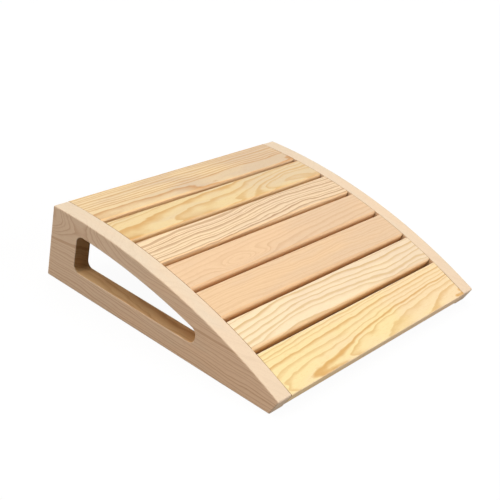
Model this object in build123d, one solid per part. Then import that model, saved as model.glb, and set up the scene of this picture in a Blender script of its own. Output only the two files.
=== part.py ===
from build123d import *
import os
from math import asin, atan2, cos, hypot, sin, tan

# Slant board: a free-standing pine wedge with a convex, slatted top that a person stands on.
# Frame: millimetres, +Z up, +X across the board, +Y from the low edge to the high edge.
# The origin is on the floor, under the middle of the board.
# In a side outline the first number is Y and the second is Z.

# Board
board_width = 350.0
board_length = 304.0
rear_height = 78.0
tip_height = 16.5
arch_radius = 680.0

# Side panels, each with a rounded hand hole
panel_thickness = 19.0
panel_corner = 1.6
panel_arris = 1.2
inner_arris = 0.5
window_rear_margin = 37.0
window_length = 164.0
window_floor = 21.0
window_top_margin = 17.0
window_corner = 7.4
window_arris = 0.8

# Slats: a wide one at each end of the arch and narrower ones between them
slat_thickness = 15.0
end_slat_width = 49.0
middle_slat_width = 36.2
slat_count = 7
slat_nosing = 3.0
slat_arris = 1.0
slat_end_arris = 0.4

# Glued dowels, two in each slat end
dowel_diameter = 6.0
dowel_length = 30.0
dowel_chamfer = 0.8
dowel_depth_in_panel = 11.0
glue_room = 1.0
dowel_inset = 10.5

# The arch is one circle through the top rear corner and the tip
rear_y = board_length / 2
tip_y = -board_length / 2
chord = hypot(board_length, rear_height - tip_height)
chord_slope = atan2(rear_height - tip_height, board_length)
chord_half_angle = asin(chord / 2 / arch_radius)
rear_lean = chord_slope - chord_half_angle
tip_lean = chord_slope + chord_half_angle
arch_centre_y = rear_y + arch_radius * sin(rear_lean)
arch_centre_z = rear_height - arch_radius * cos(rear_lean)
arch_length = arch_radius * 2 * chord_half_angle

inner_x = board_width / 2 - panel_thickness
slat_widths = [end_slat_width] + [middle_slat_width] * (slat_count - 2) + [end_slat_width]
slat_gap = (arch_length - sum(slat_widths)) / (slat_count - 1)
slat_starts = [sum(slat_widths[:i]) + slat_gap * i for i in range(slat_count)]


def arch_point(lean, below=0.0):
    """Point on the arch where its surface leans forward by this angle, or that far below it."""
    radius = arch_radius - below
    return (arch_centre_y - radius * sin(lean), arch_centre_z + radius * cos(lean))


def lean_at(travel):
    """Forward lean of the arch at a distance along it from the top rear corner."""
    return rear_lean + travel / arch_radius


def lean_at_y(y, below):
    """Forward lean at which a circle that far below the arch passes over this Y."""
    return asin((arch_centre_y - y) / (arch_radius - below))


def outline_face(corners, top_middle):
    """Face with straight sides through the corners and an arc from the last one to the first."""
    sides = Polyline(*corners)
    top = ThreePointArc(corners[-1], top_middle, corners[0])
    return make_face(Curve() + [sides, top])


def panel_outline():
    """Side view of the board: flat base, upright rear, arched top and a nose square to the arch."""
    tip = (tip_y, tip_height)
    nose_foot = (tip_y + tip_height * tan(tip_lean), 0)
    corners = [tip, nose_foot, (rear_y, 0), (rear_y, rear_height)]
    face = outline_face(corners, arch_point((rear_lean + tip_lean) / 2))
    return fillet(face.vertices(), panel_corner)


def window_outline():
    """Hand hole: level floor, upright ends and a top that runs parallel to the arch."""
    rear = rear_y - window_rear_margin
    front = rear - window_length
    rear_top_lean = lean_at_y(rear, window_top_margin)
    front_top_lean = lean_at_y(front, window_top_margin)
    corners = [
        arch_point(front_top_lean, window_top_margin),
        (front, window_floor),
        (rear, window_floor),
        arch_point(rear_top_lean, window_top_margin),
    ]
    middle = arch_point((rear_top_lean + front_top_lean) / 2, window_top_margin)
    return fillet(outline_face(corners, middle).vertices(), window_corner)


class Slat:
    """Place and section of one slat, counted from the rear."""

    def __init__(self, index):
        self.start = slat_starts[index]
        self.width = slat_widths[index]
        self.first = index == 0
        self.last = index == slat_count - 1
        self.rear_top = arch_point(lean_at(self.start))
        self.front_top = arch_point(lean_at(self.start + self.width))
        run = self.rear_top[0] - self.front_top[0]
        drop = self.rear_top[1] - self.front_top[1]
        self.chord = hypot(run, drop)
        self.lean = atan2(drop, run)

    def point(self, along, below):
        """Point this far forward from the slat's top rear edge and this far below its top."""
        y = self.rear_top[0] - along * cos(self.lean) + below * sin(self.lean)
        z = self.rear_top[1] - along * sin(self.lean) - below * cos(self.lean)
        return (y, z)

    def section(self):
        """Section with a rounded front top edge; the outermost slats finish flush with the panels."""
        rear_cut = slat_thickness * tan(self.lean) if self.first else 0.0
        front_cut = slat_thickness * tan(tip_lean - self.lean) if self.last else 0.0
        corners = [
            self.front_top,
            self.point(self.chord - front_cut, slat_thickness),
            self.point(rear_cut, slat_thickness),
            self.rear_top,
        ]
        face = make_face(Polyline(*corners, close=True))
        nosing = slat_arris if self.last else slat_nosing
        front_edge = face.vertices().sort_by_distance(self.front_top)[0]
        others = [v for v in face.vertices() if v != front_edge]
        face = fillet(others, slat_arris)
        front_edge = face.vertices().sort_by_distance(self.front_top)[0]
        return fillet(front_edge, nosing)

    def dowel_points(self):
        """The two dowel axes, at mid thickness and set in from the slat's long edges."""
        return [self.point(along, slat_thickness / 2) for along in (dowel_inset, self.chord - dowel_inset)]


slats = [Slat(index) for index in range(slat_count)]


def rod(point, diameter, from_x, to_x):
    """Cylinder along X through a point of the side view."""
    length = to_x - from_x
    middle = Pos((from_x + to_x) / 2, point[0], point[1])
    return middle * Rot(0, 90, 0) * Cylinder(diameter / 2, length)


def all_dowel_points():
    return [point for slat in slats for point in slat.dowel_points()]


def right_side_panel():
    """Right panel, with its blind dowel holes opening on the inner face."""
    outline = panel_outline()
    window = window_outline()
    blank = Pos(inner_x, 0, 0) * extrude(Plane.YZ * outline, panel_thickness)
    outer_edges = blank.faces().sort_by(Axis.X)[-1].edges()
    blank = fillet(outer_edges, panel_arris)
    inner_edges = blank.faces().sort_by(Axis.X)[0].edges()
    blank = fillet(inner_edges, inner_arris)
    cutter = Pos(inner_x, 0, 0) * extrude(Plane.YZ * window, panel_thickness)
    panel = blank - cutter
    for face in (panel.faces().sort_by(Axis.X)[0], panel.faces().sort_by(Axis.X)[-1]):
        rim = face.inner_wires()[0].edges()
        panel = fillet(rim, window_arris)
    hole_end = inner_x + dowel_depth_in_panel + glue_room
    for point in all_dowel_points():
        panel -= rod(point, dowel_diameter, inner_x, hole_end)
    return panel


def slat_solid(slat):
    """One slat across the board, with blind dowel holes in both ends."""
    blank = Pos(-inner_x, 0, 0) * extrude(Plane.YZ * slat.section(), 2 * inner_x)
    ends = blank.faces().sort_by(Axis.X)
    end_edges = ends[0].edges() + ends[-1].edges()
    blank = fillet(end_edges, slat_end_arris)
    hole_start = inner_x - (dowel_length - dowel_depth_in_panel) - glue_room
    for point in slat.dowel_points():
        blank -= rod(point, dowel_diameter, hole_start, inner_x)
        blank -= rod(point, dowel_diameter, -inner_x, -hole_start)
    return blank


def right_dowels():
    """All the dowels on the right side, as separate solids."""
    panel_end = inner_x + dowel_depth_in_panel
    pins = []
    for point in all_dowel_points():
        pin = rod(point, dowel_diameter, panel_end - dowel_length, panel_end)
        ends = pin.edges().filter_by(GeomType.CIRCLE)
        pins.append(chamfer(ends, dowel_chamfer))
    return pins


def slat_name(index):
    if index == 0:
        return "slat_1_rear"
    if index == slat_count - 1:
        return f"slat_{slat_count}_front"
    return f"slat_{index + 1}"


def save(name, shape):
    export_step(shape, os.path.join("parts", name + ".step"))


def main():
    os.makedirs("parts", exist_ok=True)
    panel = right_side_panel()
    save("right_side_panel", panel)
    save("left_side_panel", mirror(panel, about=Plane.YZ))
    pins = right_dowels()
    save("right_dowels", Compound(pins))
    save("left_dowels", Compound([mirror(pin, about=Plane.YZ) for pin in pins]))
    for index, slat in enumerate(slats):
        save(slat_name(index), slat_solid(slat))


main()
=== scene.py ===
from math import atan2, cos, radians, sin

import bpy
from mathutils import Euler, Matrix, Vector


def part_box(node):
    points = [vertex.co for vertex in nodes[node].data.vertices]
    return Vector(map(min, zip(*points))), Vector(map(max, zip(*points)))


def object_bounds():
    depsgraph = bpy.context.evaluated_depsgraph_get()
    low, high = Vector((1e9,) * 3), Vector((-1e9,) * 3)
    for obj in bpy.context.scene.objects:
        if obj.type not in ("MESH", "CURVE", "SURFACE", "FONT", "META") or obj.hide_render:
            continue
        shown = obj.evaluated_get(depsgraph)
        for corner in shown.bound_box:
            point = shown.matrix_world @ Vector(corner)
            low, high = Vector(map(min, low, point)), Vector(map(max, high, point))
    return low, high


# Looks of the pine slant board. Every visible piece is a CAD node with a solid-wood material:
# the growth rings are one three-dimensional pattern round a pith line, so the grain on every
# face of a piece belongs together. Scene lengths are metres; inside the wood they are millimetres.

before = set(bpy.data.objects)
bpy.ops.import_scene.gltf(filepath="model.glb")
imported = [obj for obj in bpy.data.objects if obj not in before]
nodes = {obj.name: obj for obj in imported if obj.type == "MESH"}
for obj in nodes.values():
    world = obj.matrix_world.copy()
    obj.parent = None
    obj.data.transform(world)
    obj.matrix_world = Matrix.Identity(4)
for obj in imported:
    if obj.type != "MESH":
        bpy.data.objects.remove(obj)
cad_low, cad_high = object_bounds()
MM = 0.001
WHITE = (1.0, 1.0, 1.0)

# Camera: angles in degrees, lens and sensor in millimetres, the rest in metres
CAMERA_AZIMUTH = -54.79
CAMERA_ELEVATION = 26.87
CAMERA_ROLL = 10.60
CAMERA_DISTANCE = 1.1311
CAMERA_AIM = (-0.0047, 0.0282, 0.035)
CAMERA_LENS = 76.44
CAMERA_SENSOR = 36.0

# Suns: azimuth, elevation and spread in degrees, then strength and colour
SUNS = {
    "key": (160.0, 72.0, 60.0, 2.5, WHITE),
    "left_fill": (-112.0, 25.0, 40.0, 1.76, (1.0, 0.79, 0.69)),
    "front_fill": (27.0, 20.0, 50.0, 2.6, (0.97, 0.99, 1.06)),
}
SKY_COLOUR = (1.0, 0.90, 0.78)
SKY_STRENGTH = 0.08

# How brightly these lights show a level top, as a multiple of its own colour
TOP_LIGHT = 1.22

# Floor: its reach to each side, its drop under the board, and the shortest ray that it stops
FLOOR_REACH = 40.0
FLOOR_DROP = 0.0002
FLOOR_TOUCH = 0.001

# Floor: its colours to the camera and to the board, and the share of plain glow to the camera
FLOOR_LIT = (0.9, 0.9, 0.9)
FLOOR_BOUNCE = (0.20, 0.20, 0.20)
FLOOR_GLOW = 0.95

# Unevenness in the wood: cells this long along the grain and this wide across it, a shift of the
# seed that keeps the kinds apart, and detail
CELLS = {
    "sway": (150.0, 50.0, 0.0, 1.0),
    "bend": (62.0, 22.0, 5.3, 1.0),
    "waver": (24.0, 8.0, 13.3, 1.0),
    "ripple": (9.0, 3.0, 21.7, 1.0),
    "tone": (80.0, 18.0, 31.9, 2.0),
    "fibre": (8.0, 0.5, 41.3, 3.0),
    "canal": (5.0, 0.35, 53.9, 0.0),
}
NOISE_MIDDLE = 0.5

# How many cells the noise moves along u, v and w when the seed grows by one
SEED_STEPS = (1.0, 0.37, 0.73)

# A year of growth, as shares of its width: how fast widths change from year to year, where late
# wood is darkest, and where it ends
YEAR_CHANGE = 0.4
LATE_DARKEST = 0.88
LATE_END = (0.9, 1.0)

# Levels of noise where an effect begins and where it is full
TONE_SPREAD = (-0.22, 0.22)
FIBRE_SPREAD = (-0.15, 0.25)
CANAL_SPREAD = (0.20, 0.28)

# How far a surface faces along an axis of the piece, where an effect begins and where it is full
EDGE_ON = (0.55, 0.15)
FACE_ON = (0.4, 0.8)
END_ON = (0.6, 0.95)
FRONT_ON = (-0.1, -0.75)

# Depth over which the painted shade in a gap deepens, and heights of a hand hole's hill that bound the
# rim of its painted shade
GAP_FADE = 6.0
HOLLOW_RIM = (0.2, 0.35)

# Distances from a piece's outside where the painted edge highlights and the thin lines of painted
# joint shade begin and where they are full
EDGE_HIGHLIGHT_BAND = (1.8, 0.3)
SEAM_BAND = (0.9, 0.2)

# Relief in metres and its parts, then gloss
RELIEF_DEPTH = 0.0001
LATE_RELIEF = 0.6
FIBRE_RELIEF = -0.5
CANAL_RELIEF = -0.5
ROUGHNESS = 0.56
LATE_ROUGHNESS = -0.10
FIBRE_ROUGHNESS = 0.15
SPECULAR = 0.3

# A Mix node has a set of sockets for each kind of data; these are the ones for colours
MIX_FACTOR = 0
MIX_COLOURS = (6, 7)
MIX_RESULT = 2

# A face looks upward when its normal has more than this much Z
UPWARD = 0.5


class Graph:
    """The node tree of a material or a world, with short calls for the nodes that it needs."""

    def __init__(self, owner, output="OutputMaterial"):
        owner.use_nodes = True
        self.owner = owner
        self.output = output
        self.tree = owner.node_tree
        self.tree.nodes.clear()

    def node(self, kind, inputs=None, **settings):
        made = self.tree.nodes.new("ShaderNode" + kind)
        for key, value in settings.items():
            setattr(made, key, value)
        for key, value in (inputs or {}).items():
            self.feed(made.inputs[key], value)
        return made

    def feed(self, socket, value):
        """Link or set an input. Colours are given without alpha and are opaque."""
        if isinstance(value, bpy.types.NodeSocket):
            self.tree.links.new(value, socket)
        elif socket.type == "RGBA":
            socket.default_value = (*value, 1.0)
        else:
            socket.default_value = value

    def math(self, operation, a, b=0.0, c=0.0):
        return self.node("Math", {0: a, 1: b, 2: c}, operation=operation).outputs[0]

    def vector_math(self, operation, a, b):
        return self.node("VectorMath", {0: a, 1: b}, operation=operation).outputs[0]

    def total(self, *terms):
        """Sum of pairs, each a value and what it is multiplied by."""
        result = 0.0
        for value, share in terms:
            result = self.math("MULTIPLY_ADD", value, share, result)
        return result

    def ramp(self, value, span, result=(0.0, 1.0)):
        """Smooth step from the first result to the second as value crosses the span."""
        inputs = {"Value": value, "From Min": span[0], "From Max": span[1]}
        inputs.update({"To Min": result[0], "To Max": result[1]})
        made = self.node("MapRange", inputs, interpolation_type="SMOOTHSTEP", clamp=True)
        return made.outputs[0]

    def facing(self, axis):
        """How far the surface faces along this direction: 1 towards it and -1 away from it."""
        normal = self.node("NewGeometry").outputs["Normal"]
        dot = self.node("VectorMath", {0: normal, 1: tuple(axis)}, operation="DOT_PRODUCT")
        return dot.outputs["Value"]

    def mix(self, factor, a, b):
        inputs = {MIX_FACTOR: factor, MIX_COLOURS[0]: a, MIX_COLOURS[1]: b}
        return self.node("Mix", inputs, data_type="RGBA").outputs[MIX_RESULT]

    def blend(self, factor, a, b):
        """Shader between two others."""
        return self.node("MixShader", {0: factor, 1: a.outputs[0], 2: b.outputs[0]})

    def finish(self, shader):
        output = self.node(self.output)
        self.tree.links.new(shader.outputs[0], output.inputs[0])
        return self.owner


class Pine(Graph):
    """Solid pine. In its own axes u runs along the grain, v across the face and w out of it."""

    def __init__(self, name, size, centre, turn, look):
        super().__init__(bpy.data.materials.new(name))
        self.length, self.width = size
        self.look = look
        place = self.node("TexCoord").outputs["Object"]
        mapping = {"Vector": place, "Location": centre, "Rotation": turn, "Scale": (MM, MM, MM)}
        self.point = self.node("Mapping", mapping, vector_type="TEXTURE").outputs[0]
        self.u, self.v, self.w = self.node("SeparateXYZ", {0: self.point}).outputs
        axes = Euler(turn).to_matrix().transposed()
        self.to_end, self.to_rear, self.to_face = (self.facing(axis) for axis in axes)

    def noise(self, kind):
        """Noise of this kind, centred on zero."""
        along, across, shift, detail = CELLS[kind]
        seed = self.look["seed"] + shift
        cells = self.vector_math("DIVIDE", self.point, (along, across, across))
        cells = self.vector_math("ADD", cells, [seed * step for step in SEED_STEPS])
        made = self.node("TexNoise", {"Vector": cells, "Scale": 1.0, "Detail": detail})
        return self.math("SUBTRACT", made.outputs[0], NOISE_MIDDLE)

    def hill(self, v, middle_u, middle_v, reach_u, reach_v, height):
        """Smooth hill over the face, with its middle and its reach along the grain and across."""
        off_u = self.math("DIVIDE", self.math("SUBTRACT", self.u, middle_u), reach_u)
        off_v = self.math("DIVIDE", self.math("SUBTRACT", v, middle_v), reach_v)
        square = self.math("MULTIPLY_ADD", off_u, off_u, self.math("MULTIPLY", off_v, off_v))
        shape = self.math("EXPONENT", self.math("MULTIPLY", square, -1.0))
        return self.math("MULTIPLY", shape, height)

    def from_pith(self, place, drift, pith):
        """Distance from the pith line along one axis, with the drift that the line has there."""
        return self.math("SUBTRACT", self.math("MULTIPLY_ADD", self.u, -drift, place), pith)

    def pith_distance(self):
        """Distance from the pith line, with the trunk's unevenness and the swells at its knots."""
        look = self.look
        side = self.from_pith(self.v, look["drift"][0], look["pith"][0])
        deep = self.from_pith(self.w, look["drift"][1], look["pith"][1])
        square = self.math("MULTIPLY_ADD", side, side, self.math("MULTIPLY", deep, deep))
        wander = [(self.noise(kind), look[kind]) for kind in ("sway", "bend", "waver", "ripple")]
        radius = self.math("ADD", self.math("SQRT", square), self.total(*wander))
        for swell in look["swells"]:
            radius = self.math("ADD", radius, self.hill(self.v, *swell))
        return radius

    def late_wood(self):
        """Share of late wood: each year deepens outwards to a line and ends sharply. Years vary."""
        look = self.look
        years = self.math("DIVIDE", self.pith_distance(), look["ring"])
        change = {"W": self.math("MULTIPLY", years, YEAR_CHANGE), "Scale": 1.0}
        slow = self.node("TexNoise", change, noise_dimensions="1D").outputs[0]
        years = self.math("MULTIPLY_ADD", slow, look["uneven"], years)
        part = self.math("FRACT", years)
        rise = self.ramp(part, (look["late_from"], LATE_DARKEST))
        fall = self.ramp(part, LATE_END, (1.0, 0.0))
        late = self.math("MULTIPLY", self.math("MULTIPLY", rise, rise), fall)
        year = self.math("ADD", self.math("FLOOR", years), look["seed"])
        draw = self.node("TexWhiteNoise", {"W": year}, noise_dimensions="1D").outputs[0]
        uneven = look["uneven_strength"]
        return self.math("MULTIPLY", late, self.math("MULTIPLY_ADD", draw, uneven, 1.0 - uneven))

    def inside(self):
        """Share of a surface that is down in a gap between slats or inside a hand hole, where shade is
        painted and the rings show in full.
        """
        look = self.look
        if look["hollow"]:
            *hollow, slope = look["hollow"]
            slanted = self.math("MULTIPLY_ADD", self.u, -slope, self.v)
            deep = self.ramp(self.hill(slanted, *hollow, 1.0), HOLLOW_RIM)
        else:
            deep = self.ramp(self.w, (look["gap_from"], look["gap_from"] - GAP_FADE))
        return self.math("MULTIPLY", deep, self.ramp(self.math("ABSOLUTE", self.to_face), EDGE_ON))

    def rings(self, inside):
        """Late wood as it shows: in full on the faces and inside, and less on outer edges."""
        edge_rings = self.look["edge_rings"]
        face_on = self.ramp(self.math("ABSOLUTE", self.to_face), FACE_ON, (edge_rings, 1.0))
        return self.math("MULTIPLY", self.late_wood(), self.math("MAXIMUM", face_on, inside))

    def grain_colour(self, late, fibre, canal):
        """Colour of slow changes of tone, then rings, fibres and resin canals."""
        look = self.look
        tone = self.total((self.u, look["tone_slope"] / self.length), (self.noise("tone"), 1.0))
        colour = self.mix(self.ramp(tone, TONE_SPREAD), look["early"], look["blush"])
        colour = self.mix(self.math("MULTIPLY", late, look["contrast"]), colour, look["late"])
        fibres = self.ramp(fibre, FIBRE_SPREAD, (0.0, look["fibre"]))
        colour = self.mix(fibres, colour, look["late"])
        return self.mix(self.math("MULTIPLY", canal, look["canal"]), colour, look["late"])

    def tint(self, colour, inside):
        """End grain is darker. Front edges get a tint of painted warm light, and gaps and hand holes a
        tint of painted shade.
        """
        look = self.look
        end_on = self.ramp(self.math("ABSOLUTE", self.to_end), END_ON, (0.0, look["end_grain"]))
        colour = self.mix(end_on, colour, look["end"])
        # Front edges get painted warm light, and gaps and hand holes get painted shade.
        front = self.ramp(self.to_rear, FRONT_ON)
        for share, factor in ((front, look["front_painted_light"]), (inside, look["inside_painted_shade"])):
            colour = self.mix(share, colour, self.vector_math("MULTIPLY", colour, factor))
        return colour

    def near_outside(self, place, size, band, share):
        """This share close to the outside of the piece, and nothing further in than the band."""
        span = [size / 2 - distance for distance in band]
        return self.ramp(self.math("ABSOLUTE", place), span, (0.0, share))

    def mark_edges(self, colour):
        """Long edges are painted a little paler as a highlight, and the ends have a thin dark line of
        painted shade in the joints.
        """
        look = self.look
        # The long edges are painted paler as a highlight.
        edge_highlight = self.near_outside(self.v, self.width, EDGE_HIGHLIGHT_BAND, look["edge_highlight"])
        colour = self.mix(edge_highlight, colour, look["edge"])
        # The ends get a thin line of painted shade where they meet the panels.
        seam = self.near_outside(self.u, self.length, SEAM_BAND, look["seam"])
        return self.mix(seam, colour, look["joint_shade"])

    def material(self):
        inside = self.inside()
        late = self.rings(inside)
        fibre = self.noise("fibre")
        canal = self.ramp(self.noise("canal"), CANAL_SPREAD)
        colour = self.grain_colour(late, fibre, canal)
        colour = self.tint(colour, inside)
        colour = self.mark_edges(colour)
        height = self.total((late, LATE_RELIEF), (fibre, FIBRE_RELIEF), (canal, CANAL_RELIEF))
        relief = {"Height": height, "Strength": self.look["bump"], "Distance": RELIEF_DEPTH}
        change = self.total((late, LATE_ROUGHNESS), (fibre, FIBRE_ROUGHNESS))
        surface = {
            "Base Color": colour,
            "Roughness": self.math("ADD", change, ROUGHNESS),
            "Specular IOR Level": SPECULAR,
            "Normal": self.node("Bump", relief).outputs[0],
        }
        return self.finish(self.node("BsdfPrincipled", surface))


def wood(red, green, blue):
    """Reflectance of wood that looks like this 0 to 255 sRGB colour on top, in the full light."""
    def channel(value):
        return ((value / 255 + 0.055) / 1.055) ** 2.4 / TOP_LIGHT
    return (channel(red), channel(green), channel(blue))


# Looks. Lengths are millimetres, and places are measured from the middle of the piece.
#   seed               which stretch of the noise the piece is cut from
#   pith, drift        where the pith line is across the face and out of it, and how it slopes
#   swells             hills that push the rings aside, as buried branches do
#   sway to ripple     how far each kind of unevenness moves the rings
#   ring, late_from    width of a year, and the share of it where late wood begins
#   uneven             how much the years differ in width; uneven_strength, in darkness
#   contrast, fibre, canal, edge_highlight, seam, end_grain, bump    how strongly each shows
#   edge_rings         share of the rings that shows on outer edges
#   tone_slope         how much the tone changes from end to end, from early to blush
#   gap_from, hollow   height where a gap begins; the hand hole's middle, reach and slope
#   front_painted_light, inside_painted_shade    what front edges, and gaps or hand holes, are multiplied by, as painted warm light on front edges and painted shade in gaps and hand holes
#   early, late, blush, edge, joint_shade, end    colours; the edge colour is a painted highlight, and the joint colour is painted shade in the joints at the ends
PLAIN = {
    "pith": (0.0, -60.0),
    "drift": (0.0, 0.0),
    "swells": [],
    "ring": 3.0,
    "sway": 9.0,
    "bend": 5.0,
    "waver": 2.4,
    "ripple": 0.5,
    "uneven": 2.0,
    "uneven_strength": 0.5,
    "late_from": 0.25,
    "contrast": 0.9,
    "fibre": 0.10,
    "canal": 0.25,
    "tone_slope": 0.5,
    "edge_rings": 1.0,
    "end_grain": 0.0,
    # painted highlight along the long edges
    "edge_highlight": 0.35,
    # painted shade in the joints at the slat ends
    "seam": 0.8,
    # painted warm light on the slats' forward-facing front edges
    "front_painted_light": (1.15, 0.95, 0.72),
    "gap_from": 5.5,
    "hollow": None,
    # painted shade down in the gaps between slats
    "inside_painted_shade": (0.86, 0.60, 0.34),
    "bump": 0.25,
    "early": wood(236, 208, 160),
    "late": wood(200, 150, 92),
    "blush": wood(238, 202, 158),
    # colour of the painted highlight on the long edges
    "edge": wood(246, 224, 184),
    "joint_shade": wood(150, 104, 62),
    # colour of the painted shade in the joints at the ends
    "end": wood(190, 138, 88),
}

SLATS = {
    # Close rings with one long flame
    "slat_1_rear": {
        "seed": 8.0, "pith": (-22.0, -15.6), "ring": 3.2, "contrast": 1.0,
        "sway": 4.0, "bend": 3.0, "waver": 1.6, "ripple": 0.3,
        "swells": [(78.0, -24.0, 105.0, 11.0, 3.6), (-150.0, -20.0, 40.0, 14.0, 1.0)],
        "early": wood(241, 218, 172), "late": wood(200, 141, 74), "blush": wood(223, 201, 169),
    },
    # Broad flames
    "slat_2": {
        "seed": 12.0, "pith": (-12.0, -34.0), "drift": (-0.01, 0.06), "ring": 3.8,
        "swells": [(94.0, -9.0, 45.0, 10.0, -5.0)],
        "early": wood(238, 215, 162), "late": wood(214, 164, 92), "blush": wood(229, 208, 169),
    },
    # Strong straight rings
    "slat_3": {
        "seed": 17.0, "pith": (-90.0, -36.0), "drift": (0.02, 0.0), "ring": 3.3, "contrast": 0.85,
        "swells": [(60.0, 0.0, 70.0, 26.0, -7.0)],
        "early": wood(250, 224, 182), "late": wood(168, 114, 66), "blush": wood(244, 220, 183),
    },
    # Faint rings round an eye
    "slat_4": {
        "seed": 23.0, "pith": (-30.0, -30.0), "drift": (0.0, 0.04), "ring": 3.4, "contrast": 0.42,
        "sway": 5.0, "bend": 2.5, "waver": 1.2, "ripple": 0.3,
        "swells": [(-72.0, -8.0, 28.0, 7.0, 14.0), (-34.0, -10.0, 14.0, 6.0, 4.5)],
        "early": wood(240, 206, 164), "late": wood(202, 150, 104), "blush": wood(232, 202, 165),
    },
    # Nearly plain
    "slat_5": {
        "seed": 29.0, "pith": (60.0, -40.0), "drift": (0.0, 0.02), "ring": 2.6, "contrast": 0.35,
        "early": wood(240, 206, 162), "late": wood(204, 152, 104), "blush": wood(233, 203, 166),
    },
    # Wide pale rings
    "slat_6": {
        "seed": 37.0, "pith": (-40.0, -26.0), "drift": (0.01, 0.0), "ring": 4.6, "contrast": 0.8,
        "swells": [(-62.0, 0.0, 80.0, 30.0, -7.0)],
        "early": wood(251, 229, 189), "late": wood(212, 170, 104), "blush": wood(242, 221, 188),
    },
    # Straight rings at the rear, and flames along the front edge that open towards the right
    "slat_7_front": {
        "seed": 52.0, "pith": (-19.5, -21.0), "drift": (-0.01, 0.055), "ring": 3.4,
        "contrast": 0.85, "sway": 5.0, "bend": 3.0,
        # painted light on this slat's front edge, and no painted shade in its gaps
        "front_painted_light": (1.12, 1.0, 1.0), "inside_painted_shade": WHITE,
        "early": wood(250, 228, 168), "late": wood(218, 164, 86), "blush": wood(248, 223, 177),
    },
}

PANEL = {
    "pith": (-100.0, -30.0), "drift": (0.03, 0.0), "ring": 3.0, "contrast": 0.6, "late_from": 0.4,
    "swells": [(118.0, 64.0, 52.0, 36.0, -50.0), (152.0, 24.0, 26.0, 20.0, 8.0)],
    "edge_highlight": 0.0, "seam": 0.0, "tone_slope": 0.7, "edge_rings": 0.15, "end_grain": 0.2,
    "hollow": (32.0, -19.0, 94.0, 32.0, 0.16),
    # painted shade and warm bounce light inside the hand hole, and no painted light on the front edges
    "front_painted_light": WHITE, "inside_painted_shade": (1.12, 0.94, 0.66),
    "early": wood(239, 215, 183), "late": wood(190, 152, 114), "blush": wood(234, 216, 188),
}
PANEL_SEEDS = {"left_side_panel": 51.0, "right_side_panel": 57.0}

DOWEL = {"seed": 61.0, "contrast": 0.1, "edge_highlight": 0.0, "seam": 0.0, "tone_slope": 15.0}


def box_size(name):
    low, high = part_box(name)
    return (high - low) / MM


def dress(name, size, turn, look):
    """Give a piece its own pine, centred on the middle of the piece."""
    low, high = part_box(name)
    pine = Pine(name + "_wood", size, (low + high) / 2, turn, {**PLAIN, **look})
    materials = nodes[name].data.materials
    materials.clear()
    materials.append(pine.material())


def top_lean(node):
    """Forward lean of a slat's flat top, read from its largest upward face."""
    upward = [face for face in node.data.polygons if face.normal.z > UPWARD]
    normal = max(upward, key=lambda face: face.area).normal
    return atan2(-normal.y, normal.z)


def width_across(node, lean):
    """Width of a slat along its leaning top, in millimetres."""
    corners = [corner.co for corner in node.data.vertices]
    across = [corner.y * cos(lean) + corner.z * sin(lean) for corner in corners]
    return (max(across) - min(across)) / MM


def dress_slats():
    for name, look in SLATS.items():
        lean = top_lean(nodes[name])
        size = (box_size(name).x, width_across(nodes[name], lean))
        dress(name, size, (lean, 0.0, 0.0), look)


def dress_panels():
    """The panels' grain runs from the tip to the rear, and their faces look along X."""
    turn = Matrix(((0, 0, 1), (1, 0, 0), (0, 1, 0))).to_euler()
    for name, seed in PANEL_SEEDS.items():
        dress(name, box_size(name).yz, tuple(turn), {**PANEL, "seed": seed})


def dress_dowels():
    for name in ("left_dowels", "right_dowels"):
        dress(name, box_size(name).xy, (0.0, 0.0, 0.0), DOWEL)


def add_object(name, data):
    made = bpy.data.objects.new(name, data)
    bpy.context.scene.collection.objects.link(made)
    return made


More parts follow.
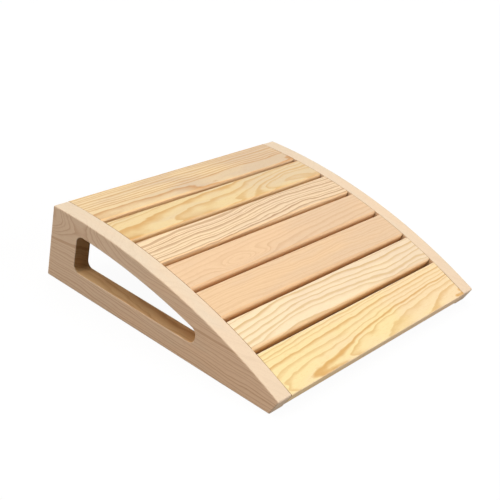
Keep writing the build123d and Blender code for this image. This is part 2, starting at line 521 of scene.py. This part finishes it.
def make_floor():
    """White sweep that gives the board only a dim bounce. It is clear from underneath and close by."""
    reach = FLOOR_REACH
    corners = [(-reach, -reach, 0), (reach, -reach, 0), (reach, reach, 0), (-reach, reach, 0)]
    mesh = bpy.data.meshes.new("floor")
    mesh.from_pydata(corners, [], [(0, 1, 2, 3)])
    floor = add_object("floor", mesh)
    floor.location.z = cad_low.z - FLOOR_DROP
    g = Graph(bpy.data.materials.new("floor_white"))
    lit = g.node("BsdfDiffuse", {"Color": FLOOR_LIT})
    glow = g.node("Emission", {"Color": WHITE, "Strength": 1.0})
    bounce = g.node("BsdfDiffuse", {"Color": FLOOR_BOUNCE})
    path = g.node("LightPath").outputs
    top = g.blend(path["Is Camera Ray"], bounce, g.blend(FLOOR_GLOW, lit, glow))
    below = g.node("NewGeometry").outputs["Backfacing"]
    touching = g.math("LESS_THAN", path["Ray Length"], FLOOR_TOUCH)
    clear = g.node("BsdfTransparent")
    mesh.materials.append(g.finish(g.blend(g.math("MAXIMUM", below, touching), top, clear)))


def towards(azimuth, elevation):
    """Unit vector from the board at these angles. Azimuth 0 is the front and -90 the left."""
    around = radians(azimuth)
    up = radians(elevation)
    return Vector((sin(around) * cos(up), -cos(around) * cos(up), sin(up)))


def make_suns():
    """Even light from wide patches of sky."""
    for name, (azimuth, elevation, spread, strength, colour) in SUNS.items():
        data = bpy.data.lights.new(name, "SUN")
        data.energy = strength
        data.angle = radians(spread)
        data.color = colour
        sun = add_object(name, data)
        sun.rotation_mode = "QUATERNION"
        sun.rotation_quaternion = (-towards(azimuth, elevation)).to_track_quat("-Z", "Y")


def make_sky():
    """Dim warm sky that the camera sees as plain white."""
    g = Graph(bpy.data.worlds.new("studio"), "OutputWorld")
    dim = g.node("Background", {"Color": SKY_COLOUR, "Strength": SKY_STRENGTH})
    white = g.node("Background", {"Color": WHITE})
    seen = g.node("LightPath").outputs["Is Camera Ray"]
    bpy.context.scene.world = g.finish(g.blend(seen, dim, white))


def make_camera():
    """Camera in front of the left side and above it, rolled a little."""
    data = bpy.data.cameras.new("camera")
    data.sensor_width = CAMERA_SENSOR
    data.lens = CAMERA_LENS
    camera = add_object("camera", data)
    back = towards(CAMERA_AZIMUTH, CAMERA_ELEVATION)
    camera.location = Vector(CAMERA_AIM) + back * CAMERA_DISTANCE
    level = (-back).to_track_quat("-Z", "Y").to_matrix()
    roll = Matrix.Rotation(radians(CAMERA_ROLL), 3, "Z")
    camera.rotation_mode = "QUATERNION"
    camera.rotation_quaternion = (level @ roll).to_quaternion()
    bpy.context.scene.camera = camera


dress_slats()
dress_panels()
dress_dowels()
make_floor()
make_sky()
make_suns()
make_camera()
bpy.context.scene.view_settings.view_transform = "Standard"
